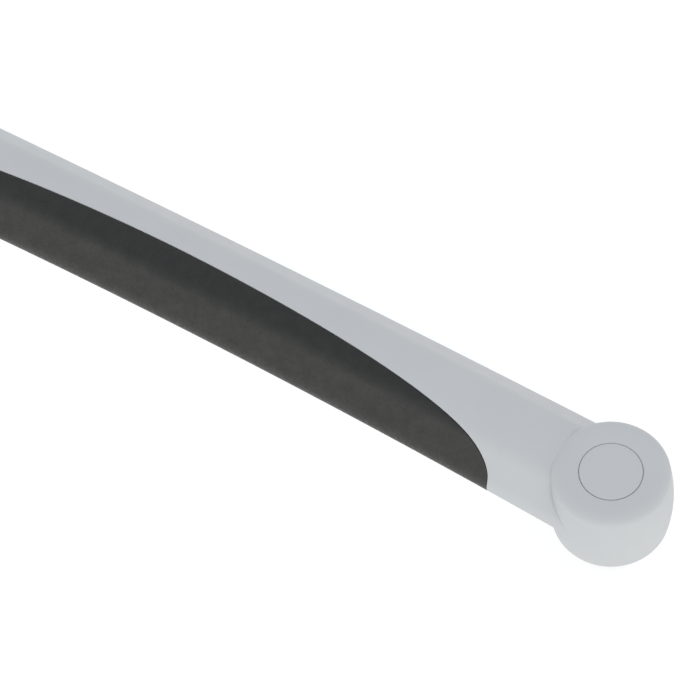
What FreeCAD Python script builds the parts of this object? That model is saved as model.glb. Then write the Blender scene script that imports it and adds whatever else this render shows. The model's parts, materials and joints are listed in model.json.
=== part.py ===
import FreeCAD, Part
import math
import os

import Sketcher

# Wall-mounted support handle: a gently arched rail between two barrel hubs.
# X runs along the rail, +Z points away from the wall, the wall plane is Z = 0
# and the soft grip insert faces -Y.

os.makedirs("parts", exist_ok=True)
doc = FreeCAD.newDocument("SupportHandle")
Vector = FreeCAD.Vector

DIMENSIONS = {
    "half_span": 187.5,        # handle centre to hub axis
    "end_height": 36.5,        # rail centre line above the wall at the hubs
    "arch_rise": 7.78,         # extra height of the centre line at mid-length
    "half_width": 20.3,        # rail section half-width at mid-length
    "flare": 0.086,            # growth of the section towards the hubs
    "crown_angle": 14.0,       # turn of the section's nearly flat top and bottom, degrees
    "flank_angle": 46.0,       # tilt of the section's straight flanks, degrees
    "shoulder_y": 0.27,       # shoulder arc centre and radius over the half-width
    "shoulder_z": 0.1655,
    "shoulder_round": 0.5,
    "side_round": 0.32,        # side arc radius over the half-width
    "grip_depth": 2.4,         # soft insert and rear cover thickness
    "wall_depth": 4.5,         # outer surface of the rail to its hollow
    "grip_reach": 147.75,      # half-length of the soft insert
    "grip_wrap_top": 1.625,    # insert wrap above the -Y line, radians
    "grip_wrap_low": 0.70,     # insert wrap below the -Y line, radians
    "grip_power": 1.815,
    "grip_tip_top": 0.267,
    "grip_tip_low": 0.16,
    "grip_seam": 0.08,
    "cover_half": 12.8,
    "cover_land": 1.0,         # shell left between the insert and the cover
    "cover_top": 40.0,
    "underside_top": 42.0,
    "slot_half": 11.3,
    "slot_top": 40.5,
    "core_half_width": 10.5,
    "core_half_thick": 4.5,
    "core_wall": 1.5,
    "core_end_gap": 8.3,
    "pad_half_width": 8.0,
    "pad_length": 20.0,
    "hub_bottom": 19.0,
    "hub_height": 35.0,
    "hub_face_radius": 21.2,
    "hub_crown": 1.6,
    "hub_edge": 3.0,
    "hub_hollow_radius": 17.5,
    "hub_roof": 7.5,
    "recess_radius": 11.62,
    "recess_depth": 2.7,
    "recess_chamfer": 0.4,
    "plug_bore_radius": 10.4,
    "plug_radius": 11.3,
    "plug_flange": 2.4,
    "plug_chamfer": 0.25,
    "skirt_radius": 10.0,
    "skirt_inner": 7.0,
    "skirt_length": 7.2,
    "groove_radius": 8.8,
    "groove_low": 6.0,
    "groove_high": 4.2,
    "seal_radius": 9.6,
    "seal_section": 0.75,
    "bolt_radius": 3.25,
    "gasket_thick": 1.5,
    "gasket_radius": 10.6,
    "foot_radius": 10.8,
    "foot_top_radius": 14.0,
    "flange_radius": 17.3,
    "flange_low": 0.5,
    "flange_thick": 3.0,
    "block_radius": 17.2,
    "block_height": 23.4,
    "counterbore_radius": 7.5,
    "seat_depth": 8.0,
    "washer_radius": 7.0,
    "washer_thick": 1.5,
    "fit_gap": 0.1,
    "seat_gap": 0.05,
    "clamp_inset": 11.5,
    "clamp_spread": 6.0,
    "clamp_head_radius": 3.4,
    "clamp_head": 2.4,
    "clamp_shank": 1.9,
    "clamp_bite": 3.0,
    "screw_pitch": 50.0,
    "screw_head_radius": 2.9,
    "screw_head": 1.8,
    "screw_sink": 0.5,
    "screw_shank": 1.5,
    "screw_socket": 1.3,
    "clamp_socket": 1.7,
    "post_radius": 4.5,
}

SCREW_STEPS = (-2.5, -1.5, -0.5, 0.5, 1.5, 2.5)
PAD_STEPS = (-2.6, -0.9, 0.9, 2.6)
SECTION_STEPS = (-1.0, -0.75, -0.5, -0.25, 0.0, 0.25, 0.5, 0.75, 1.0)
OUTLINE_POINTS = 14
REACH_OUT = 40.0
SIDE_STRETCH = 1.001    # keeps the two outlines' end planes apart


class Size:
    """A length that carries its number and its spreadsheet expression."""

    def __init__(self, value, text):
        self.value = value
        self.text = text

    def __add__(self, other):
        return Size(self.value + number(other), f"({self.text} + {text(other)})")

    def __sub__(self, other):
        return Size(self.value - number(other), f"({self.text} - {text(other)})")

    def __mul__(self, other):
        return Size(self.value * number(other), f"({self.text} * {text(other)})")

    def __truediv__(self, other):
        return Size(self.value / number(other), f"({self.text} / {text(other)})")

    def __neg__(self):
        return Size(-self.value, f"(0 - {self.text})")


def number(item):
    return item.value if isinstance(item, Size) else float(item)


def text(item):
    return item.text if isinstance(item, Size) else f"({float(item)})"


def sine(angle):
    return Size(math.sin(math.radians(angle.value)), f"sin({angle.text})")


def cosine(angle):
    return Size(math.cos(math.radians(angle.value)), f"cos({angle.text})")


def bind(target, prop, item):
    """Drive one property of an object from the sheet."""
    target.setExpression(prop, text(item))


sheet = doc.addObject("Spreadsheet::Sheet", "Sizes")
sizes = {}
for row, (alias, value) in enumerate(DIMENSIONS.items(), start=1):
    sheet.set(f"A{row}", alias)
    sheet.set(f"B{row}", str(value))
    sheet.setAlias(f"B{row}", alias)
    sizes[alias] = Size(value, f"Sizes.{alias}")
doc.recompute()


# ---- rail curve -------------------------------------------------------------

def centre_height(x):
    """Height of the rail centre line at x, a shallow parabola."""
    share = x / sizes["half_span"]
    return sizes["end_height"] + sizes["arch_rise"] - share * share * sizes["arch_rise"]


def section_half_width(x):
    share = x / sizes["half_span"]
    return sizes["half_width"] + share * share * sizes["flare"] * sizes["half_width"]


CROWN_SIN = sine(sizes["crown_angle"])
CROWN_COS = cosine(sizes["crown_angle"])
FLANK_SIN = sine(sizes["flank_angle"])
FLANK_COS = cosine(sizes["flank_angle"])
CROWN_ROUND = sizes["shoulder_y"] / CROWN_SIN + sizes["shoulder_round"]
CROWN_TOP = (sizes["shoulder_z"] + sizes["shoulder_round"] * CROWN_COS
             + CROWN_ROUND - CROWN_ROUND * CROWN_COS)


def section_half_thick(x):
    return section_half_width(x) * CROWN_TOP


def section_vertices(x, inset):
    """Rounded lozenge about the centre line: flat crowns, straight flanks, round sides."""
    width = section_half_width(x)
    shoulder = width * sizes["shoulder_round"] - inset
    side = width * sizes["side_round"] - inset
    crown = width * CROWN_ROUND - inset
    shoulder_y = width * sizes["shoulder_y"]
    shoulder_z = width * sizes["shoulder_z"]
    side_y = width - width * sizes["side_round"]
    crown_end = (shoulder_y + shoulder * CROWN_SIN, shoulder_z + shoulder * CROWN_COS)
    flank_top = (shoulder_y + shoulder * FLANK_SIN, shoulder_z + shoulder * FLANK_COS)
    flank_end = (side_y + side * FLANK_SIN, side * FLANK_COS)
    height = centre_height(x)
    return (
        (-crown_end[0], height + crown_end[1], crown),
        (crown_end[0], height + crown_end[1], shoulder),
        (flank_top[0], height + flank_top[1]),
        (flank_end[0], height + flank_end[1], side),
        (flank_end[0], height - flank_end[1]),
        (flank_top[0], height - flank_top[1], shoulder),
        (crown_end[0], height - crown_end[1], crown),
        (-crown_end[0], height - crown_end[1], shoulder),
        (-flank_top[0], height - flank_top[1]),
        (-flank_end[0], height - flank_end[1], side),
        (-flank_end[0], height + flank_end[1]),
        (-flank_top[0], height + flank_top[1], shoulder),
    )


def along(step):
    """A position on X given as a share of the half span."""
    return sizes["half_span"] * step


# ---- sketch and feature helpers ---------------------------------------------

def origin_plane(body, role):
    return [item for item in body.Origin.OriginFeatures if item.Role == role][0]


def new_body(label):
    body = doc.addObject("PartDesign::Body", label)
    body.Label = label
    return body


def new_sketch(body, name, role):
    sketch = body.newObject("Sketcher::SketchObject", name)
    sketch.AttachmentSupport = [(origin_plane(body, role), "")]
    sketch.MapMode = "FlatFace"
    return sketch


def pin_vertex(sketch, edge, position, x, y):
    """Hold one end of an edge at (x, y) from the sketch origin."""
    for axis_edge, kind, item in ((-2, "DistanceX", x), (-1, "DistanceY", y)):
        if not isinstance(item, Size) and float(item) == 0.0:
            sketch.addConstraint(Sketcher.Constraint("PointOnObject", edge, position, axis_edge))
            continue
        index = sketch.addConstraint(
            Sketcher.Constraint(kind, -1, 1, edge, position, number(item)))
        sketch.setExpression(f"Constraints[{index}]", text(item))


def arc_middle(start, end, radius):
    """Middle point of a minor arc that bulges to the left of start-to-end."""
    chord = end - start
    middle = start + chord * 0.5
    half = chord.Length / 2.0
    sagitta = abs(radius) - math.sqrt(radius * radius - half * half)
    left = Vector(-chord.y, chord.x, 0).normalize()
    return middle + left * math.copysign(sagitta, radius)


def draw_outline(sketch, vertices):
    """Closed outline; a vertex's third item is the radius of the arc that leaves it."""
    points = [Vector(number(item[0]), number(item[1]), 0) for item in vertices]
    ends = []
    for index, item in enumerate(vertices):
        start = points[index]
        end = points[(index + 1) % len(points)]
        if len(item) == 3:
            middle = arc_middle(start, end, number(item[2]))
            edge = sketch.addGeometry(Part.Arc(start, middle, end), False)
        else:
            edge = sketch.addGeometry(Part.LineSegment(start, end), False)
        first = 1 if sketch.getPoint(edge, 1).distanceToPoint(start) < 1e-6 else 2
        ends.append((edge, first, 3 - first))
    for index, (edge, first, last) in enumerate(ends):
        next_edge, next_first, _ = ends[(index + 1) % len(ends)]
        sketch.addConstraint(Sketcher.Constraint("Coincident", edge, last, next_edge, next_first))
    for (edge, first, _), item in zip(ends, vertices):
        pin_vertex(sketch, edge, first, item[0], item[1])
        if len(item) == 3:
            size = item[2] if number(item[2]) > 0 else -item[2]
            index = sketch.addConstraint(Sketcher.Constraint("Radius", edge, number(size)))
            sketch.setExpression(f"Constraints[{index}]", text(size))


def turned(label, vertices, x=0.0):
    """Solid of revolution about a vertical axis at x, from (radius, height) vertices."""
    body = new_body(label)
    sketch = new_sketch(body, f"{label}_profile", "XZ_Plane")
    draw_outline(sketch, vertices)
    turn = body.newObject("PartDesign::Revolution", f"{label}_turn")
    turn.Profile = sketch
    turn.ReferenceAxis = (sketch, ["V_Axis"])
    turn.Angle = 360
    body.Tip = turn
    bind(body, "Placement.Base.x", x)
    doc.recompute()
    return body


def round_edges(body, radius, wanted):
    """Fillet the edges of the body's last feature that the test picks."""
    base = body.Tip
    names = [f"Edge{i}" for i, edge in enumerate(base.Shape.Edges, start=1) if wanted(edge)]
    fillet = body.newObject("PartDesign::Fillet", f"{body.Name}_fillet")
    fillet.Base = (base, names)
    bind(fillet, "Radius", radius)
    body.Tip = fillet
    doc.recompute()


def rail_solid(label, inset):
    """Arched loft of the rail section from hub axis to hub axis, inset from the outer surface."""
    body = new_body(label)
    sections = []
    for order, step in enumerate(SECTION_STEPS):
        x = along(step)
        sketch = new_sketch(body, f"{label}_section_{order}", "YZ_Plane")
        bind(sketch, "AttachmentOffset.Base.z", x)
        draw_outline(sketch, section_vertices(x, inset))
        sections.append(sketch)
    loft = body.newObject("PartDesign::AdditiveLoft", f"{label}_loft")
    loft.Profile = sections[0]
    loft.Sections = sections[1:]
    loft.Ruled = False
    body.Tip = loft
    doc.recompute()
    return body


def arched_outline(half_length, half_thick):
    """Side view of a bar that follows the rail centre line."""
    span = sizes["half_span"]
    rise = sizes["arch_rise"]
    radius = (span * span + rise * rise) / (rise * 2.0)
    height = centre_height(half_length)
    return (
        (-half_length, height - half_thick, radius - half_thick),
        (half_length, height - half_thick),
        (half_length, height + half_thick, -(radius + half_thick)),
        (-half_length, height + half_thick),
    )


def arched_bar(label, half_length, half_thick, half_width):
    body = new_body(label)
    sketch = new_sketch(body, f"{label}_side", "XZ_Plane")
    draw_outline(sketch, arched_outline(half_length, half_thick))
    pad = body.newObject("PartDesign::Pad", f"{label}_pad")
    pad.Profile = sketch
    pad.SideType = "Symmetric"
    bind(pad, "Length", half_width * 2.0)
    body.Tip = pad
    doc.recompute()
    return body


def block(name, low, high):
    """Box between two corners."""
    box = doc.addObject("Part::Box", name)
    for prop, axis, first, last in zip(("Length", "Width", "Height"), "xyz", low, high):
        bind(box, prop, last - first)
        bind(box, f"Placement.Base.{axis}", first)
    return box


def cylinder(name, radius, low, high, x, y):
    """Upright cylinder from low to high."""
    item = doc.addObject("Part::Cylinder", name)
    bind(item, "Radius", radius)
    bind(item, "Height", high - low)
    bind(item, "Placement.Base.x", x)
    bind(item, "Placement.Base.y", y)
    bind(item, "Placement.Base.z", low)
    return item


def hex_prism(name, radius, low, high, x, y):
    item = doc.addObject("Part::Prism", name)
    item.Polygon = 6
    bind(item, "Circumradius", radius)
    bind(item, "Height", high - low)
    bind(item, "Placement.Base.x", x)
    bind(item, "Placement.Base.y", y)
    bind(item, "Placement.Base.z", low)
    return item


def cut(name, base, *tools):
    """Subtract each tool in turn; the last cut carries the name."""
    for order, tool in enumerate(tools, start=1):
        last = order == len(tools)
        item = doc.addObject("Part::Cut", name if last else f"{name}_step_{order}")
        item.Base = base
        item.Tool = tool
        base = item
    base.Label = name
    return base


def common(name, base, tool):
    item = doc.addObject("Part::Common", name)
    item.Base = base
    item.Tool = tool
    item.Label = name
    return item


def fuse(name, shapes):
    item = doc.addObject("Part::MultiFuse", name)
    item.Shapes = shapes
    item.Label = name
    return item


def group(name, shapes):
    item = doc.addObject("Part::Compound", name)
    item.Links = shapes
    item.Label = name
    return item


# ---- grip outline -----------------------------------------------------------

def outline_share(step, tip_power):
    """Share of the insert's half-length at which its edge has wrapped by step."""
    return (1.0 - step ** (1.0 / tip_power)) ** (1.0 / DIMENSIONS["grip_power"])


def edge_point(step, side, wrap, tip_power):
    x = side * outline_share(step, tip_power) * DIMENSIONS["grip_reach"]
    turn = wrap * step
    width = number(section_half_width(Size(x, "")))
    return x, -width * math.cos(turn), number(centre_height(Size(x, ""))), turn


def edge_curve(wrap, tip_power, place):
    """Smooth curve through the insert's edge from its left tip to its right tip."""
    steps = [index / OUTLINE_POINTS for index in range(OUTLINE_POINTS + 1)]
    left = [place(*edge_point(step, -1.0, wrap, tip_power)) for step in steps]
    right = [place(*edge_point(step, 1.0, wrap, tip_power)) for step in reversed(steps[:-1])]
    curve = Part.BSplineCurve()
    curve.interpolate(left + right)
    return curve.toShape()


def closed_face(curve, outward):
    """Face between a curve and a straight line shifted outward from its ends."""
    first = curve.Vertexes[0].Point
    last = curve.Vertexes[-1].Point
    far = [last + outward, first + outward]
    rim = Part.makePolygon([last, far[0], far[1], first])
    return Part.Face(Part.Wire([curve] + rim.Edges))


def grip_zone(name, seam):
    """Space of the soft insert: a plan outline crossed with a side outline."""
    reach = Vector(0, -REACH_OUT, 0)

    def in_plan(x, y, height, turn):
        return Vector(x, y - seam, 0)

    def in_side(x, y, height, turn):
        thick = number(section_half_thick(Size(x, "")))
        return Vector(x * SIDE_STRETCH, -REACH_OUT, height - thick * math.sin(turn) + seam)

    plan_edge = edge_curve(DIMENSIONS["grip_wrap_top"], DIMENSIONS["grip_tip_top"], in_plan)
    side_edge = edge_curve(DIMENSIONS["grip_wrap_low"], DIMENSIONS["grip_tip_low"], in_side)
    plan = closed_face(plan_edge, reach).extrude(Vector(0, 0, 2.0 * REACH_OUT))
    side = closed_face(side_edge, Vector(0, 0, REACH_OUT)).extrude(Vector(0, 2.0 * REACH_OUT, 0))
    span = DIMENSIONS["half_span"]
    land = DIMENSIONS["cover_half"] + DIMENSIONS["cover_land"]
    under = Part.makeBox(2.0 * span, land + REACH_OUT, DIMENSIONS["underside_top"], Vector(-span, -land, 0))
    zone = doc.addObject("Part::Feature", name)
    zone.Shape = plan.common(side).cut(under)
    return zone


# ---- rail -------------------------------------------------------------------

rail_outer = rail_solid("rail_outer", 0.0)
rail_floor = rail_solid("rail_floor", sizes["grip_depth"])
rail_hollow = rail_solid("rail_hollow", sizes["wall_depth"])

hub_bottom = sizes["hub_bottom"]
hub_top = hub_bottom + sizes["hub_height"]
hub_half_height = sizes["hub_height"] / 2.0
hub_arc = ((hub_half_height * hub_half_height + sizes["hub_crown"] * sizes["hub_crown"])
           / (sizes["hub_crown"] * 2.0))


def outer_rim(edge):
    """Picks the rims of a hub's two faces."""
    box = edge.BoundBox
    return box.ZLength < 0.01 and abs(box.XLength / 2.0 - DIMENSIONS["hub_face_radius"]) < 0.2


def hub_barrel(label, x, growth):
    """Solid barrel with the hub's outer surface, grown by a clearance."""
    radius = sizes["hub_face_radius"] + growth
    barrel = turned(label, (
        (0.0, hub_bottom),
        (radius, hub_bottom, -hub_arc),
        (radius, hub_top),
        (0.0, hub_top),
    ), x)
    round_edges(barrel, sizes["hub_edge"], outer_rim)
    return barrel


core_length = sizes["half_span"] - sizes["core_end_gap"]
core_space = arched_bar(
    "core_space",
    core_length + sizes["fit_gap"],
    sizes["core_half_thick"] + sizes["fit_gap"],
    sizes["core_half_width"] + sizes["fit_gap"])

zone_outer = grip_zone("grip_zone_outer", 0.0)
zone_inner = grip_zone("grip_zone_inner", DIMENSIONS["grip_seam"])
span = sizes["half_span"]
cover_half = sizes["cover_half"]
cover_inner = cover_half - sizes["fit_gap"]
wall_plane = Size(0.0, "0")
cover_space = block("cover_space", (-span, -cover_half, wall_plane), (span, cover_half, sizes["cover_top"]))
cover_zone = block("cover_zone", (-span, -cover_inner, wall_plane), (span, cover_inner, sizes["cover_top"]))
slot = block("slot", (-span, -sizes["slot_half"], wall_plane), (span, sizes["slot_half"], sizes["slot_top"]))

grip_pocket = cut("grip_pocket", zone_outer, rail_floor)
cover_pocket = cut("cover_pocket", cover_space, rail_floor)
cope_left = hub_barrel("cope_left", -span, sizes["fit_gap"])
cope_right = hub_barrel("cope_right", span, sizes["fit_gap"])

nodes = []
handrail_shell = cut(
    "handrail_shell", rail_outer, cope_left, cope_right, rail_hollow, grip_pocket, cover_pocket, slot)
grip_insert = cut("grip_insert", common("grip_blank", rail_outer, zone_inner), rail_floor)
nodes += [handrail_shell, grip_insert]

# ---- rear cover, its posts and screws ---------------------------------------

posts = []
cover_holes = []
cover_screws = []
for order, step in enumerate(SCREW_STEPS):
    x = sizes["screw_pitch"] * step
    height = centre_height(x)
    under = height - section_half_thick(x)
    head_low = under + sizes["screw_sink"]
    head_high = head_low + sizes["screw_head"]
    tip = height - sizes["core_half_thick"] + sizes["core_wall"] * 2.0
    core_under = height - sizes["core_half_thick"]
    posts.append(cylinder(f"post_{order}", sizes["post_radius"], head_low + 0.5, core_under + 1.0, x, 0.0))
    cover_holes.append(cylinder(
        f"head_hole_{order}", sizes["screw_head_radius"] + sizes["fit_gap"],
        under - 1.0, head_high + sizes["seat_gap"], x, 0.0))
    cover_holes.append(cylinder(
        f"shank_hole_{order}", sizes["screw_shank"] + sizes["fit_gap"], under, tip + 0.5, x, 0.0))
    blank = fuse(f"cover_screw_blank_{order}", [
        cylinder(f"cover_head_{order}", sizes["screw_head_radius"], head_low, head_high, x, 0.0),
        cylinder(f"cover_shank_{order}", sizes["screw_shank"], head_low + 0.5, tip, x, 0.0)])
    socket = hex_prism(f"cover_socket_{order}", sizes["screw_socket"], under - 1.0, head_low + 1.1, x, 0.0)
    cover_screws.append(cut(f"cover_screw_{order}", blank, socket))

cover_hole_group = group("cover_hole_group", cover_holes)
cover_skin = cut("cover_skin", common("cover_blank", rail_outer, cover_zone), rail_floor)
rear_cover = cut(
    "rear_cover", fuse("cover_with_posts", [cover_skin] + posts),
    core_space, cover_hole_group, cope_left, cope_right)
nodes += [rear_cover, group("cover_screws", cover_screws)]

# ---- core bar and its pads --------------------------------------------------

core_blank = arched_bar("core_blank", core_length, sizes["core_half_thick"], sizes["core_half_width"])
core_inside = arched_bar(
    "core_inside", core_length + 1.0,
    sizes["core_half_thick"] - sizes["core_wall"],
    sizes["core_half_width"] - sizes["core_wall"])

pad_boxes = []
for order, step in enumerate(PAD_STEPS):
    x = sizes["screw_pitch"] * step
    half = sizes["pad_length"] / 2.0
    height = centre_height(x)
    pad_boxes.append(block(
        f"pad_box_{order}",
        (x - half, -sizes["pad_half_width"], height),
        (x + half, sizes["pad_half_width"], height + sizes["half_width"])))
pads = cut("core_pads", common("pad_blank", group("pad_boxes", pad_boxes), rail_hollow), core_space)

# ---- hub assemblies ---------------------------------------------------------

clamp_holes = []
for side, sign in (("left", -1.0), ("right", 1.0)):
    x = span * sign
    hub = turned(f"hub_turned_{side}", (
        (sizes["hub_hollow_radius"], hub_bottom),
        (sizes["hub_face_radius"], hub_bottom, -hub_arc),
        (sizes["hub_face_radius"], hub_top),
        (sizes["recess_radius"] + sizes["recess_chamfer"], hub_top),
        (sizes["recess_radius"], hub_top - sizes["recess_chamfer"]),
        (sizes["recess_radius"], hub_top - sizes["recess_depth"]),
        (sizes["plug_bore_radius"], hub_top - sizes["recess_depth"]),
        (sizes["plug_bore_radius"], hub_top - sizes["hub_roof"]),
        (sizes["hub_hollow_radius"], hub_top - sizes["hub_roof"]),
    ), x)
    round_edges(hub, sizes["hub_edge"], outer_rim)
    nodes.append(cut(f"end_hub_{side}", hub, core_space))

    nodes.append(turned(f"cover_plug_{side}", (
        (0.0, hub_top),
        (sizes["plug_radius"] - sizes["plug_chamfer"], hub_top),
        (sizes["plug_radius"], hub_top - sizes["plug_chamfer"]),
        (sizes["plug_radius"], hub_top - sizes["plug_flange"]),
        (sizes["skirt_radius"], hub_top - sizes["plug_flange"]),
        (sizes["skirt_radius"], hub_top - sizes["groove_high"]),
        (sizes["groove_radius"], hub_top - sizes["groove_high"]),
        (sizes["groove_radius"], hub_top - sizes["groove_low"]),
        (sizes["skirt_radius"], hub_top - sizes["groove_low"]),
        (sizes["skirt_radius"], hub_top - sizes["skirt_length"]),
        (sizes["skirt_inner"], hub_top - sizes["skirt_length"]),
        (sizes["skirt_inner"], hub_top - sizes["plug_flange"]),
        (0.0, hub_top - sizes["plug_flange"]),
    ), x))

    seal = doc.addObject("Part::Torus", f"plug_seal_{side}")
    bind(seal, "Radius1", sizes["seal_radius"])
    bind(seal, "Radius2", sizes["seal_section"])
    bind(seal, "Placement.Base.x", x)
    bind(seal, "Placement.Base.z", hub_top - (sizes["groove_low"] + sizes["groove_high"]) / 2.0)
    nodes.append(seal)

    nodes.append(turned(f"wall_gasket_{side}", (
        (sizes["bolt_radius"], 0.0),
        (sizes["gasket_radius"], 0.0),
        (sizes["gasket_radius"], sizes["gasket_thick"]),
        (sizes["bolt_radius"], sizes["gasket_thick"]),
    ), x))

    flange_low = hub_bottom + sizes["flange_low"]
    flange_top = flange_low + sizes["flange_thick"]
    nodes.append(turned(f"wall_foot_{side}", (
        (sizes["bolt_radius"], sizes["gasket_thick"]),
        (sizes["foot_radius"], sizes["gasket_thick"]),
        (sizes["foot_top_radius"], flange_low),
        (sizes["flange_radius"], flange_low),
        (sizes["flange_radius"], flange_top),
        (sizes["bolt_radius"], flange_top),
    ), x))

    block_low = flange_top + sizes["seat_gap"]
    block_top = block_low + sizes["block_height"]
    seat = block_low + sizes["seat_depth"]
    anchor = turned(f"anchor_turned_{side}", (
        (sizes["bolt_radius"], block_low),
        (sizes["block_radius"], block_low),
        (sizes["block_radius"], block_top),
        (sizes["counterbore_radius"], block_top),
        (sizes["counterbore_radius"], seat),
        (sizes["bolt_radius"], seat),
    ), x)

    washer_low = seat + sizes["seat_gap"]
    nodes.append(turned(f"seat_washer_{side}", (
        (sizes["bolt_radius"], washer_low),
        (sizes["washer_radius"], washer_low),
        (sizes["washer_radius"], washer_low + sizes["washer_thick"]),
        (sizes["bolt_radius"], washer_low + sizes["washer_thick"]),
    ), x))

    clamp_x = (span - sizes["clamp_inset"]) * sign
    screws = []
    holes = []
    for order, y_sign in enumerate((-1.0, 1.0)):
        y = sizes["clamp_spread"] * y_sign
        neck = block_top - sizes["clamp_head"]
        low = block_low + sizes["clamp_bite"]
        tag = f"{side}_{order}"
        holes.append(cylinder(
            f"clamp_hole_{tag}", sizes["clamp_shank"] + sizes["fit_gap"], low - 0.5, block_top, clamp_x, y))
        holes.append(cylinder(
            f"clamp_sink_{tag}", sizes["clamp_head_radius"] + sizes["fit_gap"],
            neck - sizes["seat_gap"], block_top + 1.0, clamp_x, y))
        blank = fuse(f"clamp_blank_{tag}", [
            cylinder(f"clamp_head_{tag}", sizes["clamp_head_radius"], neck, block_top, clamp_x, y),
            cylinder(f"clamp_shank_{tag}", sizes["clamp_shank"], low, neck + 0.5, clamp_x, y)])
        socket = hex_prism(f"clamp_socket_{tag}", sizes["clamp_socket"], neck + 1.0, block_top + 1.0, clamp_x, y)
        screws.append(cut(f"clamp_screw_{tag}", blank, socket))
    hole_group = group(f"clamp_hole_group_{side}", holes)
    clamp_holes.append(hole_group)
    nodes.append(cut(f"anchor_block_{side}", anchor, core_space, hole_group))
    nodes.append(group(f"anchor_screws_{side}", screws))

nodes.append(cut("core_bar", core_blank, core_inside, cover_hole_group, *clamp_holes))
nodes.append(pads)

# ---- checks and export ------------------------------------------------------

doc.recompute()
for item in doc.Objects:
    if "Invalid" in item.State or "Error" in item.State:
        raise RuntimeError(f"{item.Name} did not recompute")
for node in nodes:
    if node.Shape.isNull() or not node.Shape.isValid():
        raise RuntimeError(f"{node.Label} has no valid shape")
    node.Shape.exportStep(f"parts/{node.Label}.step")
    print(node.Label, len(node.Shape.Solids), round(node.Shape.Volume, 1))
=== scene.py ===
import json
import math

import bmesh
import bpy
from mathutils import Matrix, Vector


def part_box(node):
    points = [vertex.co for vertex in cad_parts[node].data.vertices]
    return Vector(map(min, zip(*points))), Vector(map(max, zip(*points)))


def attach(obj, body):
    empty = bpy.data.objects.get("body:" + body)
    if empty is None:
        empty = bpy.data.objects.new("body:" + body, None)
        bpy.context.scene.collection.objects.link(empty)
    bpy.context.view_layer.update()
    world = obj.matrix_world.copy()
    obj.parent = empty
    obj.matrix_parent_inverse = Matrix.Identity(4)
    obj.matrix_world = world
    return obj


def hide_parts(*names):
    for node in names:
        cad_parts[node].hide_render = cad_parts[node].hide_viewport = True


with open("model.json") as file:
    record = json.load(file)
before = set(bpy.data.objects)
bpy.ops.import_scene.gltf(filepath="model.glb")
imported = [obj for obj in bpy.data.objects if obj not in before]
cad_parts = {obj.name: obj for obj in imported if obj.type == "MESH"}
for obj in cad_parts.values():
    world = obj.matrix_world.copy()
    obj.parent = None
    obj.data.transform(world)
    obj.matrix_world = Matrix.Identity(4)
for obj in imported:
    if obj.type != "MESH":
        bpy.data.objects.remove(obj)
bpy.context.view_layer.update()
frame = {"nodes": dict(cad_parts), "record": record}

# ---- measurements, in metres ------------------------------------------------
# The rail is the CAD rail's curve: x runs along it and a turn runs round it.

MM = 0.001
FULL_TURN = 2.0 * math.pi
QUARTER = math.pi / 2.0

mounts = {mount["name"]: mount for mount in frame["record"]["mounts"]}
HALF_SPAN = mounts["wall_screw_holes"]["dims"]["spacing_x_mm"] * MM / 2.0
HOLE_RADIUS = mounts["wall_screw_holes"]["dims"]["hole_r_mm"] * MM
hub_low_corner, hub_high_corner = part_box("end_hub_right")
HUB_LOW = hub_low_corner.z
HUB_HIGH = hub_high_corner.z
HUB_MIDDLE = (HUB_LOW + HUB_HIGH) / 2.0
HUB_RADIUS = 22.8 * MM
HUB_CROWN = 1.6 * MM
HUB_RIM_IN = 4.6 * MM        # top rim rounding, inwards and downwards
HUB_RIM_DOWN = 2.6 * MM
HUB_FOOT_EDGE = 3.0 * MM
HUB_HOLLOW = 17.5 * MM
HUB_ROOF = 7.5 * MM
RECESS_RADIUS = 11.58 * MM
RECESS_DEPTH = 2.7 * MM
RECESS_CHAMFER = 0.5 * MM

PLUG_BORE = 10.4 * MM
PLUG_RADIUS = 11.49 * MM
PLUG_EDGE = 0.4 * MM
PLUG_THICKNESS = 2.4 * MM
SKIRT_RADIUS = 10.0 * MM
SKIRT_INNER = 7.0 * MM
SKIRT_DEPTH = 7.2 * MM
SEAL_GROOVE_RADIUS = 8.8 * MM
SEAL_GROOVE_TOP = 4.2 * MM
SEAL_GROOVE_FLOOR = 6.0 * MM

FOOT_BASE = 10.8 * MM
FOOT_SHOULDER = 14.0 * MM
FOOT_SPIGOT = 17.3 * MM
FOOT_EDGE = 0.6 * MM
GASKET_RADIUS = 10.6 * MM
GASKET_EDGE = 0.35 * MM

ARCH_RISE = 7.78 * MM
HALF_WIDTH = 20.3 * MM
FLARE = 0.086
CROWN_ANGLE = math.radians(14.0)
FLANK_ANGLE = math.radians(46.0)
SHOULDER_Y = 0.27           # shares of the section's half-width
SHOULDER_Z = 0.1655
SHOULDER_ROUND = 0.5
SIDE_ROUND = 0.32
CROWN_ROUND = SHOULDER_Y / math.sin(CROWN_ANGLE) + SHOULDER_ROUND
CROWN_Z = SHOULDER_Z + (SHOULDER_ROUND - CROWN_ROUND) * math.cos(CROWN_ANGLE)
CROWN_END = SHOULDER_Y + SHOULDER_ROUND * math.sin(CROWN_ANGLE)
FLANK_START = SHOULDER_Y + SHOULDER_ROUND * math.sin(FLANK_ANGLE)
SIDE_Y = 1.0 - SIDE_ROUND
FLANK_STOP = SIDE_Y + SIDE_ROUND * math.sin(FLANK_ANGLE)

GRIP_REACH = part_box("grip_insert")[1].x
GRIP_POWER = 1.815
GRIP_WRAP_TOP = 1.625
GRIP_TIP_TOP = 0.267
GRIP_WRAP_LOW = 0.81
GRIP_TIP_LOW = 0.16

COVER_HALF = 12.8 * MM
SKIN = 2.35 * MM
SEAM = 0.2 * MM
LIP = 0.3 * MM
HUB_TUCK = 0.15 * MM
BLEND = 2.5 * MM             # fillet where the rail runs into a hub
BLEND_TURN = math.radians(62.0)
BLEND_START = 0.45           # shares of the half-width where the fillet sets in
BLEND_RAMP = 0.27
BLEND_END = 1.03             # and just past the side, where it would run out
BLEND_END_POWER = 8

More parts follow.
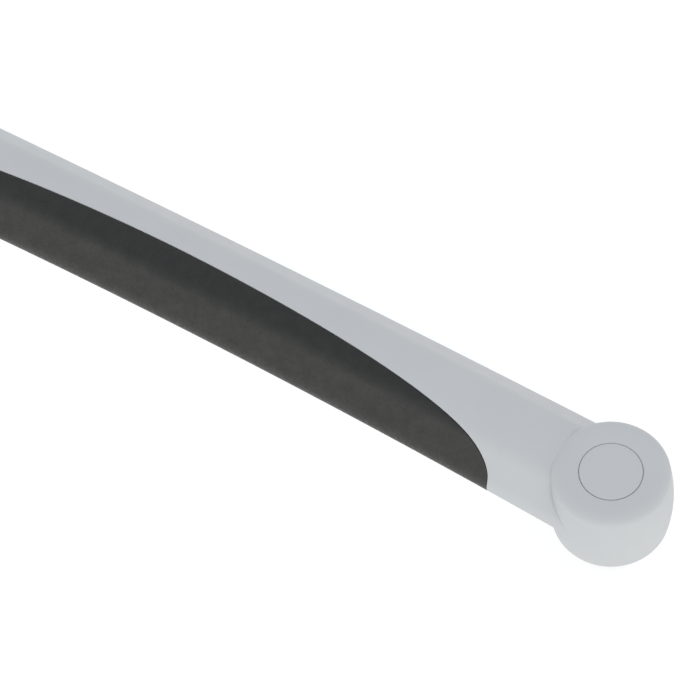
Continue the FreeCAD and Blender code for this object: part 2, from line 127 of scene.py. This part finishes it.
# How finely the meshes are divided
TIP_STEPS = 76
INSERT_ROWS = 40
UPPER_ROWS = 84
LOWER_ROWS = 26
END_STEPS = 14
BLEND_STEPS = 8
COPE_STEPS = 14
TURNED_SEGMENTS = 160
FOOT_SEGMENTS = 96
SHARP_EDGE = math.radians(28.0)


def half_width(x):
    """Half the rail's width, least at mid-length."""
    return HALF_WIDTH * (1.0 + FLARE * (x / HALF_SPAN) ** 2)


def centre_height(x):
    """Height of the rail's centre line, which arches away from the wall."""
    return HUB_MIDDLE + ARCH_RISE * (1.0 - (x / HALF_SPAN) ** 2)


def section(turn):
    """Unit section at a turn: distance out, height and the surface's tilt from level."""
    out = abs(math.sin(turn))
    if out <= CROWN_END:
        tilt = math.asin(out / CROWN_ROUND)
        high = CROWN_Z + CROWN_ROUND * math.cos(tilt)
    elif out <= FLANK_START:
        tilt = math.asin((out - SHOULDER_Y) / SHOULDER_ROUND)
        high = SHOULDER_Z + SHOULDER_ROUND * math.cos(tilt)
    elif out <= FLANK_STOP:
        tilt = FLANK_ANGLE
        high = SIDE_ROUND * math.cos(tilt) + (FLANK_STOP - out) * math.tan(tilt)
    else:
        tilt = math.asin(min(1.0, (out - SIDE_Y) / SIDE_ROUND))
        high = SIDE_ROUND * math.cos(tilt)
    return out, high, tilt


def rail_point(x, turn, inset=0.0):
    """Point on the rail: turn is 0 at the crest and a quarter turn on the grip side."""
    out, high, tilt = section(turn)
    side = math.copysign(1.0, math.sin(turn))
    up = math.copysign(1.0, math.cos(turn))
    width = half_width(x)
    return Vector((x, -side * (width * out - inset * math.sin(tilt)),
                   centre_height(x) + up * (width * high - inset * math.cos(tilt))))


def rail_tangents(x, turn):
    """Unit tangents along the rail and round it, and the length of one radian."""
    step_x = 0.2 * MM
    step_turn = 0.002
    lengthwise = rail_point(x + step_x, turn) - rail_point(x - step_x, turn)
    around = rail_point(x, turn + step_turn) - rail_point(x, turn - step_turn)
    return lengthwise.normalized(), around.normalized(), around.length / (2.0 * step_turn)


def barrel_radius(height):
    """Radius of a hub's crowned wall at a height."""
    reach = (height - HUB_MIDDLE) / (HUB_HIGH - HUB_MIDDLE)
    return HUB_RADIUS - HUB_CROWN * reach * reach


def hub_radius(height):
    """Outer radius of a hub at a height, with its rounded rims."""
    rim = HUB_HIGH - HUB_RIM_DOWN
    foot = HUB_LOW + HUB_FOOT_EDGE
    if height > rim:
        share = min(1.0, (height - rim) / HUB_RIM_DOWN)
        return barrel_radius(rim) - HUB_RIM_IN * (1.0 - math.sqrt(1.0 - share * share))
    if height < foot:
        share = min(1.0, (foot - height) / HUB_FOOT_EDGE)
        return barrel_radius(foot) - HUB_FOOT_EDGE * (1.0 - math.sqrt(1.0 - share * share))
    return barrel_radius(height)


def cope_x(turn, inset):
    """Where the rail's surface runs into the hub."""
    x = HALF_SPAN
    for _ in range(COPE_STEPS):
        point = rail_point(x, turn, inset)
        reach = (hub_radius(point.z) - HUB_TUCK) ** 2 - point.y ** 2
        x = HALF_SPAN - math.sqrt(max(reach, 0.0))
    return x


def cover_turn(x):
    """Turn at the edge of the rear cover."""
    return math.pi - math.asin(COVER_HALF / half_width(x))


# ---- mesh builder -----------------------------------------------------------

class Skin:
    """Collects points with their surface normals and faces, then makes one mesh."""

    def __init__(self):
        self.points = []
        self.normals = []
        self.faces = []
        self.smooth = []

    def add(self, point, normal):
        self.points.append(point)
        self.normals.append(normal)
        return len(self.points) - 1

    def face(self, corners, smooth):
        ring = []
        for corner in corners:
            if corner not in ring:
                ring.append(corner)
        if len(ring) > 2:
            self.faces.append(ring)
            self.smooth.append(smooth)

    def build(self, name):
        mesh = bpy.data.meshes.new(name)
        mesh.from_pydata(self.points, [], self.faces)
        work = bmesh.new()
        work.from_mesh(mesh)
        bmesh.ops.recalc_face_normals(work, faces=work.faces)
        work.to_mesh(mesh)
        work.free()
        loop_normals = []
        for polygon, smooth in zip(mesh.polygons, self.smooth):
            polygon.use_smooth = True
            for vertex in polygon.vertices:
                loop_normals.append(self.normals[vertex] if smooth else polygon.normal)
        mesh.normals_split_custom_set(loop_normals)
        item = bpy.data.objects.new(name, mesh)
        bpy.context.scene.collection.objects.link(item)
        return item


def end_spread(count, start):
    """Steps from 0 to 1 that begin at 0, jump to start and then run evenly."""
    return [0.0] + [start + (1.0 - start) * index / count for index in range(count + 1)]


def grip_columns(reach):
    """x stations from tip to tip, close together where the insert's tip turns."""
    half = [reach * (1.0 - step ** 4) for step in end_spread(TIP_STEPS, 0.08)]
    return [-x for x in half] + half[-2::-1]


def grip_half_turn(x, reach, wrap, tip):
    """Turn from the insert's middle line to its edge."""
    ratio = min(abs(x) / reach, 1.0)
    return wrap * (1.0 - ratio ** GRIP_POWER) ** tip


def edge_weight(x, reach, wrap, tip):
    """1 where the insert's edge runs along the rail, falling to 0 at its tips."""
    step = 0.05 * MM
    inside = grip_half_turn(abs(x) - step, reach, wrap, tip)
    outside = grip_half_turn(abs(x) + step, reach, wrap, tip)
    slope = (inside - outside) / (2.0 * step) * half_width(x)
    return 1.0 / math.sqrt(1.0 + slope * slope)


def strip_rows(x, first, last, count, first_lip, last_lip):
    """(turn, inset, tilt) across a strip, with a rounded lip at either side."""
    width = last - first
    rows = []
    lips = []
    for turn, lip in ((first, first_lip), (last, last_lip)):
        lip_turn = lip / rail_tangents(x, turn)[2]
        room = 0.3 * abs(width)
        scale = min(1.0, room / lip_turn) if lip_turn > 0.0 else 1.0
        lips.append((lip_turn * scale, lip * scale))
    direction = math.copysign(1.0, width)
    for share in (0.0, 0.3, 1.0):
        drop = (1.0 - share) ** 2
        rows.append((first + direction * share * lips[0][0], lips[0][1] * drop,
                     -direction * (1.0 - share)))
    start = first + direction * lips[0][0]
    stop = last - direction * lips[1][0]
    rows += [(start + (stop - start) * index / count, 0.0, 0.0) for index in range(1, count)]
    for share in (1.0, 0.3, 0.0):
        drop = (1.0 - share) ** 2
        rows.append((last - direction * share * lips[1][0], lips[1][1] * drop,
                     direction * (1.0 - share)))
    return rows


def outer_normal(x, turn, tilt):
    """Outward normal of the rail, leaned round it by tilt."""
    lengthwise, around, _ = rail_tangents(x, turn)
    outward = lengthwise.cross(around)
    if outward.dot(rail_point(x, turn) - rail_point(x, turn, 1.0 * MM)) < 0.0:
        outward.negate()
    return (outward + around * tilt).normalized()


def add_layer(skin, x, rows, depth):
    """Outer points of one column and the points below them at depth."""
    outer = [skin.add(rail_point(x, turn, inset), outer_normal(x, turn, tilt))
             for turn, inset, tilt in rows]
    inner = [skin.add(rail_point(x, turn, depth), -outer_normal(x, turn, 0.0))
             for turn, _, _ in rows]
    return outer, inner


def join_columns(skin, left, right, side_walls):
    """Faces between two neighbouring columns of one strip."""
    for layer in (0, 1):
        for index in range(len(left[0]) - 1):
            skin.face((left[layer][index], right[layer][index],
                       right[layer][index + 1], left[layer][index + 1]), True)
    for index in side_walls:
        skin.face((left[0][index], right[0][index], right[1][index], left[1][index]), False)


def close_column(skin, column):
    """End wall of a strip, from its outer points to its inner ones."""
    outer, inner = column
    for index in range(len(outer) - 1):
        skin.face((outer[index], outer[index + 1], inner[index + 1], inner[index]), False)


def add_tip(skin, x, count):
    """A column of the insert drawn together to one outer and one inner point."""
    normal = outer_normal(x, QUARTER, 0.0)
    tip = skin.add(rail_point(x, QUARTER), normal)
    root = skin.add(rail_point(x, QUARTER, SKIN), -normal)
    return [tip] * count, [root] * count


def make_insert():
    """The soft grip: a curved strip of even thickness with a rounded tip at either end."""
    skin = Skin()
    columns = []
    points_per_column = INSERT_ROWS + 5     # the rows between, and three points in each lip
    for x in grip_columns(GRIP_REACH):
        if abs(x) >= GRIP_REACH:
            columns.append(add_tip(skin, x, points_per_column))
            continue
        top = QUARTER - grip_half_turn(x, GRIP_REACH, GRIP_WRAP_TOP, GRIP_TIP_TOP)
        low = QUARTER + grip_half_turn(x, GRIP_REACH, GRIP_WRAP_LOW, GRIP_TIP_LOW)
        lip_top = LIP * edge_weight(x, GRIP_REACH, GRIP_WRAP_TOP, GRIP_TIP_TOP)
        lip_low = LIP * edge_weight(x, GRIP_REACH, GRIP_WRAP_LOW, GRIP_TIP_LOW)
        rows = strip_rows(x, top, low, INSERT_ROWS, lip_top, lip_low)
        columns.append(add_layer(skin, x, rows, SKIN))
    for left, right in zip(columns, columns[1:]):
        join_columns(skin, left, right, (0, -1))
    return skin.build("soft_grip")


def blend_share(turn):
    """Strength of the fillet against a hub: full on the flanks, none on the crown."""
    out = abs(math.sin(turn))
    ramp = min(1.0, max(0.0, (out - BLEND_START) / BLEND_RAMP))
    fade = 1.0 - (out / BLEND_END) ** BLEND_END_POWER
    return ramp * ramp * (3.0 - 2.0 * ramp) * fade


def make_shell():
    """The rail moulding: a skin with a window for the insert, open over the rear cover."""
    skin = Skin()
    reach = GRIP_REACH + SEAM
    upper_columns = []
    lower_columns = []
    in_window = []

    def add_column(station, x_of, has_window, side=0.0, lean=0.0):
        """x_of gives each row's own x; lean is the turn of the fillet against a hub."""
        if has_window:
            slack = SEAM / half_width(station)
            top = QUARTER - grip_half_turn(station, reach, GRIP_WRAP_TOP + slack, GRIP_TIP_TOP)
            low = QUARTER + grip_half_turn(station, reach, GRIP_WRAP_LOW + slack, GRIP_TIP_LOW)
            lip_top = LIP * edge_weight(station, reach, GRIP_WRAP_TOP, GRIP_TIP_TOP)
            lip_low = LIP * edge_weight(station, reach, GRIP_WRAP_LOW, GRIP_TIP_LOW)
        else:
            top = low = QUARTER
            lip_top = lip_low = 0.0
        edge = cover_turn(station)
        strips = []
        for rows in (strip_rows(station, top, -edge, UPPER_ROWS, lip_top, LIP),
                     strip_rows(station, low, edge, LOWER_ROWS, lip_low, LIP)):
            outer = []
            inner = []
            for turn, inset, tilt in rows:
                share = blend_share(turn)
                rise = BLEND * (1.0 - math.cos(lean)) * share
                x = x_of(turn, inset - rise)
                away = Vector((-side * share * math.tan(lean), 0.0, 0.0))
                normal = (outer_normal(x, turn, tilt) + away).normalized()
                outer.append(skin.add(rail_point(x, turn, inset - rise), normal))
                inner.append(skin.add(rail_point(x_of(turn, SKIN), turn, SKIN),
                                      -outer_normal(x, turn, 0.0)))
            strips.append((outer, inner))
        if not has_window:
            for layer in (0, 1):
                strips[1][layer][0] = strips[0][layer][0]
        upper_columns.append(strips[0])
        lower_columns.append(strips[1])
        in_window.append(has_window)

    def end_columns(side):
        """Columns from an insert tip to a hub, in order away from the tip."""
        for step in range(1, END_STEPS + 1):
            share = step / END_STEPS
            add_column(
                side * (reach + (HALF_SPAN - HUB_RADIUS - BLEND - reach) * share),
                lambda turn, inset, s=share: side * (
                    reach + (cope_x(turn, inset) - BLEND - reach) * s), False)
        for step in range(1, BLEND_STEPS + 1):
            lean = BLEND_TURN * step / BLEND_STEPS
            gap = BLEND * (1.0 - math.sin(lean))
            add_column(
                side * (HALF_SPAN - HUB_RADIUS - gap),
                lambda turn, inset, g=gap: side * (cope_x(turn, inset) - g), False, side, lean)
        add_column(side * (HALF_SPAN - HUB_RADIUS),
                   lambda turn, inset: side * cope_x(turn, inset), False, side, BLEND_TURN)

    end_columns(-1.0)
    for columns in (upper_columns, lower_columns, in_window):
        columns.reverse()
    for x in grip_columns(reach):
        add_column(x, lambda turn, inset, here=x: here, abs(x) < reach)
    end_columns(1.0)

    for index in range(len(in_window) - 1):
        walls = (0, -1) if in_window[index] or in_window[index + 1] else (-1,)
        join_columns(skin, upper_columns[index], upper_columns[index + 1], walls)
        join_columns(skin, lower_columns[index], lower_columns[index + 1], walls)
    for index in (0, -1):
        close_column(skin, upper_columns[index])
        close_column(skin, lower_columns[index])
    return skin.build("rail_shell")


def arc(centre, radius, start, end, count):
    """Points of an arc in the (radius, height) plane; angles in degrees."""
    points = []
    for index in range(count + 1):
        angle = math.radians(start + (end - start) * index / count)
        points.append((centre[0] + radius * math.cos(angle), centre[1] + radius * math.sin(angle)))
    return points


def turned(name, profile, x, segments=TURNED_SEGMENTS):
    """Closed solid of revolution about the vertical through x, smooth but for sharp corners."""
    mesh = bpy.data.meshes.new(name)
    work = bmesh.new()
    rings = []
    for radius, height in profile:
        if radius <= 0.0:
            rings.append([work.verts.new((x, 0.0, height))] * segments)
            continue
        rings.append([
            work.verts.new((x + radius * math.cos(FULL_TURN * k / segments),
                            radius * math.sin(FULL_TURN * k / segments), height))
            for k in range(segments)])
    closed = profile[0][0] > 0.0
    pairs = list(zip(rings, rings[1:]))
    if closed:
        pairs.append((rings[-1], rings[0]))
    for lower, upper in pairs:
        for k in range(segments):
            corners = []
            for vertex in (lower[k], lower[(k + 1) % segments], upper[(k + 1) % segments], upper[k]):
                if vertex not in corners:
                    corners.append(vertex)
            if len(corners) > 2:
                work.faces.new(corners)
    bmesh.ops.recalc_face_normals(work, faces=work.faces)
    for face in work.faces:
        face.smooth = True
    for edge in work.edges:
        edge.smooth = edge.calc_face_angle(0.0) < SHARP_EDGE
    work.to_mesh(mesh)
    work.free()
    item = bpy.data.objects.new(name, mesh)
    bpy.context.scene.collection.objects.link(item)
    return item


def rounded(corners, radius, count=5):
    """A closed (radius, height) outline whose listed corners are rounded."""
    outline = []
    total = len(corners)
    for index, (point, keep_sharp) in enumerate(corners):
        here = Vector(point)
        before = Vector(corners[index - 1][0])
        after = Vector(corners[(index + 1) % total][0])
        if keep_sharp or radius <= 0.0:
            outline.append(tuple(here))
            continue
        back = (before - here).normalized()
        ahead = (after - here).normalized()
        reach = min(radius, (before - here).length * 0.45, (after - here).length * 0.45)
        for step in range(count + 1):
            share = step / count
            a = here + back * reach * (1.0 - share)
            b = here + ahead * reach * share
            outline.append(tuple(a.lerp(b, share)))
    return outline


def hub_profile():
    """Crowned barrel with a plug recess in its top and a hollow below."""
    profile = [(HUB_HOLLOW, HUB_LOW + 0.25 * MM), (HUB_HOLLOW + 0.25 * MM, HUB_LOW)]
    heights = [HUB_LOW + HUB_FOOT_EDGE * (1.0 - math.cos(QUARTER * k / 10)) for k in range(11)]
    low = HUB_LOW + HUB_FOOT_EDGE
    high = HUB_HIGH - HUB_RIM_DOWN
    heights += [low + (high - low) * k / 30 for k in range(1, 31)]
    heights += [high + HUB_RIM_DOWN * math.sin(QUARTER * k / 14) for k in range(1, 15)]
    profile += [(hub_radius(height), height) for height in heights]
    profile += [
        (RECESS_RADIUS + RECESS_CHAMFER * 1.25, HUB_HIGH),
        (RECESS_RADIUS + RECESS_CHAMFER * 0.9, HUB_HIGH - RECESS_CHAMFER * 0.12),
        (RECESS_RADIUS + RECESS_CHAMFER * 0.25, HUB_HIGH - RECESS_CHAMFER * 0.6),
        (RECESS_RADIUS, HUB_HIGH - RECESS_CHAMFER * 1.15),
        (RECESS_RADIUS, HUB_HIGH - RECESS_DEPTH),
        (PLUG_BORE + 0.3 * MM, HUB_HIGH - RECESS_DEPTH),
        (PLUG_BORE, HUB_HIGH - RECESS_DEPTH - 0.3 * MM),
        (PLUG_BORE, HUB_HIGH - HUB_ROOF),
        (HUB_HOLLOW, HUB_HIGH - HUB_ROOF),
    ]
    return profile


def plug_profile():
    """Flat cap with a hollow skirt below it, grooved for the O-ring."""
    top = HUB_HIGH
    profile = [(0.0, top)]
    profile += [(PLUG_RADIUS * share, top) for share in (0.3, 0.6, 0.85)]
    profile += list(reversed(arc((PLUG_RADIUS - PLUG_EDGE, top - PLUG_EDGE), PLUG_EDGE, 0.0, 90.0, 5)))
    profile += [
        (PLUG_RADIUS, top - PLUG_THICKNESS + 0.2 * MM),
        (PLUG_RADIUS - 0.2 * MM, top - PLUG_THICKNESS),
        (SKIRT_RADIUS, top - PLUG_THICKNESS),
        (SKIRT_RADIUS, top - SEAL_GROOVE_TOP),
        (SEAL_GROOVE_RADIUS, top - SEAL_GROOVE_TOP),
        (SEAL_GROOVE_RADIUS, top - SEAL_GROOVE_FLOOR),
        (SKIRT_RADIUS, top - SEAL_GROOVE_FLOOR),
        (SKIRT_RADIUS, top - SKIRT_DEPTH + 0.3 * MM),
        (SKIRT_RADIUS - 0.3 * MM, top - SKIRT_DEPTH),
        (SKIRT_INNER, top - SKIRT_DEPTH),
        (SKIRT_INNER, top - PLUG_THICKNESS - 0.4 * MM),
        (SKIRT_INNER - 0.4 * MM, top - PLUG_THICKNESS),
        (0.0, top - PLUG_THICKNESS),
    ]
    return profile


def foot_profile():
    """Cone that stands on the wall, with a spigot up into the hub."""
    low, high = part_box("wall_foot_right")
    shoulder = HUB_LOW + 0.5 * MM
    corners = [
        ((HOLE_RADIUS, low.z), True),
        ((FOOT_BASE, low.z), False),
        ((FOOT_SHOULDER, shoulder), True),
        ((FOOT_SPIGOT, shoulder), False),
        ((FOOT_SPIGOT, high.z), True),
        ((HOLE_RADIUS, high.z), True),
    ]
    return rounded(corners, FOOT_EDGE)


def gasket_profile():
    """Flat rubber ring between foot and wall."""
    low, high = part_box("wall_gasket_right")
    corners = [
        ((HOLE_RADIUS, low.z), True),
        ((GASKET_RADIUS, low.z), False),
        ((GASKET_RADIUS, high.z), False),
        ((HOLE_RADIUS, high.z), True),
    ]
    return rounded(corners, GASKET_EDGE)


# ---- materials --------------------------------------------------------------

def new_material(name):
    """A material with its nodes, its links and its shader."""
    material = bpy.data.materials.new(name)
    material.use_nodes = True
    nodes = material.node_tree.nodes
    shader = nodes["Principled BSDF"]
    return material, nodes, material.node_tree.links, shader


def noise(nodes, links, coords, scale, detail, roughness=0.5):
    """Noise in object space; its grain is about 1/scale of a metre."""
    item = nodes.new("ShaderNodeTexNoise")
    item.inputs["Scale"].default_value = scale
    item.inputs["Detail"].default_value = detail
    item.inputs["Roughness"].default_value = roughness
    links.new(coords.outputs["Object"], item.inputs["Vector"])
    return item


def spread(nodes, links, source, low, high, start=0.3, end=0.7):
    """Maps a node's output onto a range."""
    item = nodes.new("ShaderNodeMapRange")
    item.inputs["From Min"].default_value = start
    item.inputs["From Max"].default_value = end
    item.inputs["To Min"].default_value = low
    item.inputs["To Max"].default_value = high
    links.new(source, item.inputs["Value"])
    return item


def colour_mix(nodes, links, factor, first, second):
    """Fades from one colour to another."""
    item = nodes.new("ShaderNodeMix")
    item.data_type = "RGBA"
    links.new(factor, item.inputs["Factor"])
    item.inputs["A"].default_value = (*first, 1.0)
    item.inputs["B"].default_value = (*second, 1.0)
    return item


def bump(nodes, links, height, strength, distance, below=None):
    """Surface relief, laid over another relief if one is given."""
    item = nodes.new("ShaderNodeBump")
    item.inputs["Strength"].default_value = strength
    item.inputs["Distance"].default_value = distance
    links.new(height, item.inputs["Height"])
    if below is not None:
        links.new(below.outputs["Normal"], item.inputs["Normal"])
    return item


def moulded_plastic(name, first, second):
    """Satin moulded plastic: fine spark-eroded grain over a faint flow mottle."""
    material, nodes, links, shader = new_material(name)
    coords = nodes.new("ShaderNodeTexCoord")
    mottle = noise(nodes, links, coords, 38.0, 3.0)
    grain = noise(nodes, links, coords, 2600.0, 2.0)
    wave = noise(nodes, links, coords, 160.0, 2.0)
    share = spread(nodes, links, mottle.outputs["Fac"], 0.0, 1.0)
    tint = colour_mix(nodes, links, share.outputs["Result"], first, second)
    links.new(tint.outputs["Result"], shader.inputs["Base Color"])
    rough = spread(nodes, links, wave.outputs["Fac"], 0.44, 0.54)
    links.new(rough.outputs["Result"], shader.inputs["Roughness"])
    low = bump(nodes, links, wave.outputs["Fac"], 0.10, 0.00025)
    high = bump(nodes, links, grain.outputs["Fac"], 0.16, 0.00005, low)
    links.new(high.outputs["Normal"], shader.inputs["Normal"])
    shader.inputs["IOR"].default_value = 1.5
    shader.inputs["Specular IOR Level"].default_value = 0.35
    return material


UPWARD_START = 0.76          # height of the unit normal where the painted shade sets in
UPWARD_FULL = 1.0


def soft_rubber(name, first, second):
    """Matte rubber: pebbled micro-texture, blotchy sheen, and painted shade that makes it darker and less
    glossy where it faces up.
    """
    material, nodes, links, shader = new_material(name)
    coords = nodes.new("ShaderNodeTexCoord")
    blotch = noise(nodes, links, coords, 190.0, 5.0, 0.62)
    speck = noise(nodes, links, coords, 900.0, 3.0, 0.6)
    pebble = nodes.new("ShaderNodeTexVoronoi")
    pebble.inputs["Scale"].default_value = 1500.0
    links.new(coords.outputs["Object"], pebble.inputs["Vector"])
    mottle = spread(nodes, links, blotch.outputs["Fac"], 0.0, 1.0)
    tint = colour_mix(nodes, links, mottle.outputs["Result"], first, second)
    # Painted shade: the base colour is scaled down to half where the surface faces up.
    facing = nodes.new("ShaderNodeNewGeometry")
    upward = nodes.new("ShaderNodeSeparateXYZ")
    links.new(facing.outputs["Normal"], upward.inputs["Vector"])
    painted_upward_shade = spread(nodes, links, upward.outputs["Z"], 1.0, 0.50, UPWARD_START, UPWARD_FULL)
    shade = nodes.new("ShaderNodeVectorMath")
    shade.operation = "SCALE"
    links.new(tint.outputs["Result"], shade.inputs["Vector"])
    links.new(painted_upward_shade.outputs["Result"], shade.inputs["Scale"])
    links.new(shade.outputs["Vector"], shader.inputs["Base Color"])
    # Painted shade too: the specular level drops where the surface faces up.
    gloss = spread(nodes, links, upward.outputs["Z"], 0.6, 0.47, UPWARD_START, UPWARD_FULL)
    links.new(gloss.outputs["Result"], shader.inputs["Specular IOR Level"])
    rough = spread(nodes, links, speck.outputs["Fac"], 0.36, 0.66)
    links.new(rough.outputs["Result"], shader.inputs["Roughness"])
    low = bump(nodes, links, pebble.outputs["Distance"], 0.35, 0.00008)
    high = bump(nodes, links, speck.outputs["Fac"], 0.45, 0.00016, low)
    links.new(high.outputs["Normal"], shader.inputs["Normal"])
    shader.inputs["Sheen Weight"].default_value = 0.02
    shader.inputs["Sheen Roughness"].default_value = 0.5
    return material


def metal(name, first, second, low_rough, high_rough, scale):
    """Bare metal with a cloudy tone and finish."""
    material, nodes, links, shader = new_material(name)
    coords = nodes.new("ShaderNodeTexCoord")
    cloud = noise(nodes, links, coords, scale, 5.0, 0.6)
    share = spread(nodes, links, cloud.outputs["Fac"], 0.0, 1.0)
    tint = colour_mix(nodes, links, share.outputs["Result"], first, second)
    links.new(tint.outputs["Result"], shader.inputs["Base Color"])
    rough = spread(nodes, links, cloud.outputs["Fac"], low_rough, high_rough)
    links.new(rough.outputs["Result"], shader.inputs["Roughness"])
    relief = bump(nodes, links, cloud.outputs["Fac"], 0.2, 0.0001)
    links.new(relief.outputs["Normal"], shader.inputs["Normal"])
    shader.inputs["Metallic"].default_value = 1.0
    return material


grey_plastic = moulded_plastic("light_grey_plastic", (0.508, 0.523, 0.537), (0.522, 0.538, 0.550))
grip_rubber = soft_rubber("soft_grip_rubber", (0.0098, 0.0104, 0.0086), (0.0232, 0.0244, 0.0200))
pad_rubber = soft_rubber("black_rubber", (0.016, 0.016, 0.017), (0.028, 0.028, 0.029))
cast_metal = metal("cast_aluminium", (0.52, 0.52, 0.53), (0.62, 0.62, 0.63), 0.45, 0.65, 700.0)
drawn_metal = metal("drawn_aluminium", (0.62, 0.63, 0.64), (0.7, 0.7, 0.72), 0.28, 0.42, 300.0)
zinc_metal = metal("zinc_plated_steel", (0.58, 0.58, 0.57), (0.68, 0.67, 0.65), 0.25, 0.42, 500.0)


def paint(item, material):
    item.data.materials.clear()
    item.data.materials.append(material)


# ---- pieces -----------------------------------------------------------------

def place(item, body, slot, material, *nodes):
    """Hands a visual piece to a body, in place of its CAD nodes."""
    paint(item, material)
    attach(item, body)
    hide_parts(*nodes)


place(make_shell(), "handle", "grey_plastic", grey_plastic, "handrail_shell")
place(make_insert(), "handle", "soft_grip", grip_rubber, "grip_insert")
for side, sign in (("left", -1.0), ("right", 1.0)):
    x = HALF_SPAN * sign
    place(turned(f"hub_{side}", hub_profile(), x), "handle", "grey_plastic", grey_plastic, f"end_hub_{side}")
    place(turned(f"plug_cap_{side}", plug_profile(), x), f"plug_{side}", "grey_plastic", grey_plastic,
          f"cover_plug_{side}")
    place(turned(f"foot_{side}", foot_profile(), x, FOOT_SEGMENTS), "handle", "grey_plastic", grey_plastic,
          f"wall_foot_{side}")
    place(turned(f"gasket_{side}", gasket_profile(), x, FOOT_SEGMENTS), "handle", "pad_rubber", pad_rubber,
          f"wall_gasket_{side}")

# CAD pieces that are shown as they are.
KEPT = {
    "rear_cover": grey_plastic,
    "cover_screws": zinc_metal,
    "core_bar": drawn_metal,
    "core_pads": pad_rubber,
}
for side in ("left", "right"):
    KEPT[f"anchor_block_{side}"] = cast_metal
    KEPT[f"anchor_screws_{side}"] = zinc_metal
    KEPT[f"seat_washer_{side}"] = zinc_metal
    KEPT[f"plug_seal_{side}"] = pad_rubber
for name, material in KEPT.items():
    node = frame["nodes"][name]
    if node.material_slots:
        for slot in node.material_slots:
            slot.material = material
    else:
        node.data.materials.append(material)

# ---- floor, lights and camera -----------------------------------------------

scene = bpy.context.scene
scene.view_settings.view_transform = "Standard"
scene.view_settings.look = "None"

FLOOR_HALF = 6.0
HORIZON = (1.15, 1.155, 1.085, 1.0)
ZENITH = (0.715, 0.745, 0.83, 1.0)
CAMERA_PLACE = (0.47666, -0.52431, 1.15489)
CAMERA_TURN = (math.radians(30.6239), math.radians(3.5376), math.radians(31.3982))

floor_mesh = bpy.data.meshes.new("floor")
floor_mesh.from_pydata(
    [(-FLOOR_HALF, -FLOOR_HALF, 0.0), (FLOOR_HALF, -FLOOR_HALF, 0.0),
     (FLOOR_HALF, FLOOR_HALF, 0.0), (-FLOOR_HALF, FLOOR_HALF, 0.0)], [], [(0, 1, 2, 3)])
floor = bpy.data.objects.new("floor", floor_mesh)
scene.collection.objects.link(floor)
floor_material, _, _, shader = new_material("pale_floor")
shader.inputs["Base Color"].default_value = (0.4, 0.4, 0.4, 1.0)
shader.inputs["Roughness"].default_value = 1.0
shader.inputs["Specular IOR Level"].default_value = 0.0
shader.inputs["Emission Color"].default_value = (1.0, 1.0, 1.0, 1.0)
shader.inputs["Emission Strength"].default_value = 0.69
paint(floor, floor_material)

world = bpy.data.worlds.new("studio")
scene.world = world
world.use_nodes = True
world_nodes = world.node_tree.nodes
world_links = world.node_tree.links
sky_place = world_nodes.new("ShaderNodeTexCoord")
sky_split = world_nodes.new("ShaderNodeSeparateXYZ")
world_links.new(sky_place.outputs["Generated"], sky_split.inputs["Vector"])
sky = world_nodes.new("ShaderNodeMix")
sky.data_type = "RGBA"
sky.inputs["A"].default_value = HORIZON
sky.inputs["B"].default_value = ZENITH
world_links.new(sky_split.outputs["Z"], sky.inputs["Factor"])
world_links.new(sky.outputs["Result"], world_nodes["Background"].inputs["Color"])
world_nodes["Background"].inputs["Strength"].default_value = 1.0


def area_light(name, location, target, size, power, colour):
    """A soft box that faces its target."""
    data = bpy.data.lights.new(name, "AREA")
    data.shape = "RECTANGLE"
    data.size, data.size_y = size
    data.energy = power
    data.color = colour
    item = bpy.data.objects.new(name, data)
    item.location = location
    item.rotation_euler = (Vector(target) - Vector(location)).to_track_quat("-Z", "Y").to_euler()
    scene.collection.objects.link(item)


area_light("front_box", (1.1, -1.3, 1.0), (0.0, 0.0, 0.04), (1.4, 1.0), 5.8, (1.0, 0.98, 0.88))

camera_data = bpy.data.cameras.new("camera")
camera_data.sensor_width = 36.0
camera_data.lens = 180.26
camera_data.clip_start = 0.05
camera_data.clip_end = 50.0
camera = bpy.data.objects.new("camera", camera_data)
camera.location = CAMERA_PLACE
camera.rotation_euler = CAMERA_TURN
scene.collection.objects.link(camera)
scene.camera = camera
